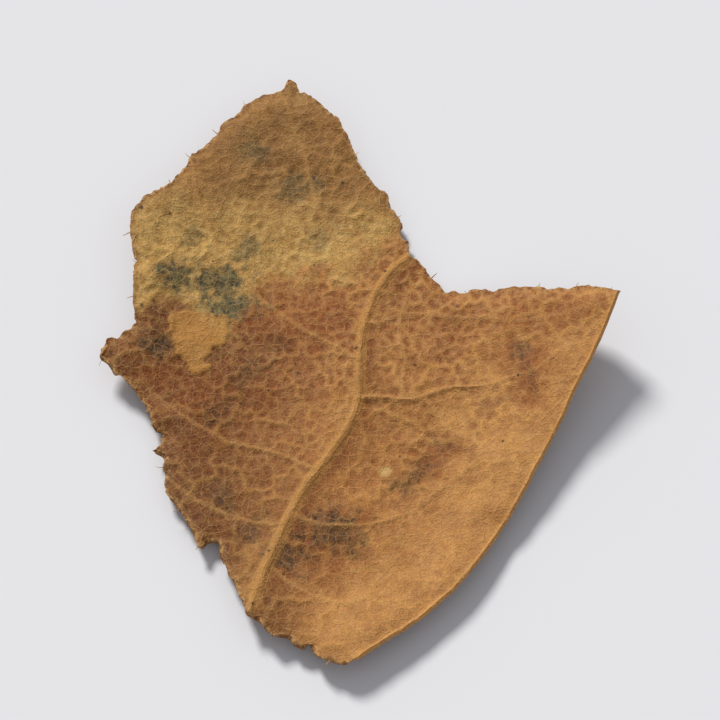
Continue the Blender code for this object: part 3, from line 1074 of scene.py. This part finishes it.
# %% Grow the fibres
fibres = bmesh.new()
single_mesh = bpy.data.meshes.new("single_fibre")
for spot, out in roots:
    length = fibre_draw.uniform(*FIBRE_LENGTH)
    radius = fibre_draw.uniform(*FIBRE_RADIUS)
    lean = fibre_draw.uniform(-FIBRE_LEAN, FIBRE_LEAN)
    droop = fibre_draw.uniform(*FIBRE_DROOP)
    tip = radius * FIBRE_TAPER
    single = bmesh.new()
    bmesh.ops.create_cone(
        single, cap_ends=True, segments=FIBRE_SIDES, radius1=radius, radius2=tip, depth=length,
    )
    long_edges = [edge for edge in single.edges if edge.calc_length() > 0.9 * length]
    bmesh.ops.subdivide_edges(single, edges=long_edges, cuts=FIBRE_RINGS - 1)
    start = (spot - middle) + leaf_middle / MM
    nearest = np.hypot(*(flat_xy - spot).T).argmin()
    height = 0.5 * (lower_z[nearest] + upper_z[nearest]) + leaf_low.z / MM
    side = np.array([out[1], -out[0]])
    for vert in single.verts:
        reach = vert.co.z + 0.5 * length
        sway = lean * reach * reach / length * 0.5
        flat = start + out * (reach - FIBRE_ROOT) + side * (vert.co.x + sway)
        vert.co = Vector((flat[0], flat[1], height + vert.co.y + droop * reach))
    bmesh.ops.recalc_face_normals(single, faces=single.faces[:])
    single.to_mesh(single_mesh)
    single.free()
    fibres.from_mesh(single_mesh)
bpy.data.meshes.remove(single_mesh)
bmesh.ops.scale(fibres, vec=(MM, MM, MM), verts=fibres.verts[:])
fibre_mesh = bpy.data.meshes.new("torn_vein_fibres")
fibres.to_mesh(fibre_mesh)
fibres.free()
fibre_mesh.shade_smooth()
fibre_object = bpy.data.objects.new("torn_vein_fibres", fibre_mesh)
bpy.context.scene.collection.objects.link(fibre_object)
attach(fibre_object, "root")
print("fibre triangles:", sum(len(face.vertices) - 2 for face in fibre_mesh.polygons))

# %% [markdown]
# A broken vein shows its wood: strands of cellulose, paler than the skin and just as dull, mottled
# with scraps of the brown tissue that clung to them.

# %% The fibres' material
SCRAP_SIZE = 0.05
fibre_material = bpy.data.materials.new("broken_vein_fibre")
fibre_material.use_nodes = True
fibre_tree = fibre_material.node_tree
fibre_tree.nodes.clear()
fibre_place = {"Vector": add_node(fibre_tree, "ShaderNodeTexCoord").outputs["Object"]}
scraps = add_node(fibre_tree, "ShaderNodeTexNoise", None, {"Scale": per_mm(SCRAP_SIZE)}, fibre_place)
ends = {"From Min": 0.35, "From Max": 0.65}
bare = add_node(fibre_tree, "ShaderNodeMapRange", SMOOTH, ends, {"Value": scraps.outputs["Fac"]})
tones = {6: colour("#8f6238"), 7: colour("#c79f6b")}
wood = add_node(fibre_tree, "ShaderNodeMix", BLEND, tones, {0: bare.outputs[0]})
dry_fibre = {"Roughness": 0.7, "IOR": 1.5}
links = {"Base Color": wood.outputs[2]}
fibre_shader = add_node(fibre_tree, "ShaderNodeBsdfPrincipled", None, dry_fibre, links)
add_node(fibre_tree, "ShaderNodeOutputMaterial", None, None, {"Surface": fibre_shader.outputs[0]})
fibre_mesh.materials.append(fibre_material)
print("nodes in the fibre material:", len(fibre_tree.nodes))

# %% [markdown]
# ## Table, light and camera
#
# The piece lies on a pale matt table. Soft daylight comes from beyond the piece and a little from its
# left, not quite halfway up, so that the veins throw small shadows towards the camera, and an even pale
# sky fills them. The camera looks down steeply through a long lens, as for a close-up of something
# this small.

# %% Lay the table
TABLE_SIZE = 0.6
TABLE_GAP = 0.01 * MM
table_bm = bmesh.new()
bmesh.ops.create_grid(table_bm, x_segments=1, y_segments=1, size=TABLE_SIZE)
bmesh.ops.translate(table_bm, vec=(0.0, 0.0, leaf_low.z - TABLE_GAP), verts=table_bm.verts[:])
table_mesh = bpy.data.meshes.new("table_top")
table_bm.to_mesh(table_mesh)
table_bm.free()
table = bpy.data.objects.new("table_top", table_mesh)
bpy.context.scene.collection.objects.link(table)
paper = bpy.data.materials.new("pale_card")
paper.use_nodes = True
card = paper.node_tree.nodes["Principled BSDF"]
card.inputs["Base Color"].default_value = colour("#e4e4e7")
card.inputs["Roughness"].default_value = 0.85
table_mesh.materials.append(paper)
table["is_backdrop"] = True
print("table top:", round(TABLE_GAP / MM, 3), "mm under the piece")

# %% Light it
SUN_HEIGHT = 42
SUN_FROM = 118
SUN_SOFTNESS = 14
SUN_STRENGTH = 3.0
SKY_STRENGTH = 0.42
sun_data = bpy.data.lights.new("window_light", "SUN")
sun_data.energy = SUN_STRENGTH
sun_data.angle = math.radians(SUN_SOFTNESS)
sun_data.color = (1.0, 0.985, 0.96)
sun = bpy.data.objects.new("window_light", sun_data)
bpy.context.scene.collection.objects.link(sun)
sun.rotation_euler = (math.radians(90 - SUN_HEIGHT), 0.0, math.radians(SUN_FROM + 90))
world = bpy.data.worlds.new("soft_room")
world.use_nodes = True
sky = world.node_tree.nodes["Background"]
sky.inputs["Color"].default_value = colour("#eef0f5")
sky.inputs["Strength"].default_value = SKY_STRENGTH
bpy.context.scene.world = world
bpy.context.scene.view_settings.view_transform = "Standard"
print("sun direction:", [round(value, 2) for value in sun.rotation_euler])

# %% Set the camera
VIEW_HEIGHT = 65
LENS = 200
SENSOR = 36
FRAME_WIDTH = 10.4 * MM
aim = 0.5 * (leaf_low + leaf_high)
distance = FRAME_WIDTH * LENS / SENSOR
tilt = math.radians(VIEW_HEIGHT)
camera_data = bpy.data.cameras.new("close_up")
camera_data.lens = LENS
camera_data.sensor_width = SENSOR
camera_data.clip_start = 0.001
camera_data.clip_end = 10.0
camera = bpy.data.objects.new("close_up", camera_data)
bpy.context.scene.collection.objects.link(camera)
camera.location = aim + Vector((0.0, -math.cos(tilt), math.sin(tilt))) * distance
camera.rotation_euler = (math.pi / 2 - tilt, 0.0, 0.0)
bpy.context.scene.camera = camera
print("camera", round(distance * 1000), "mm away")

# %% Measure the size
made_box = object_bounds()
sizes = {"cad": [list(corner) for corner in cad_box], "visual": [list(corner) for corner in made_box]}
print("made box in mm:", [[round(value * 1000, 3) for value in corner] for corner in made_box])
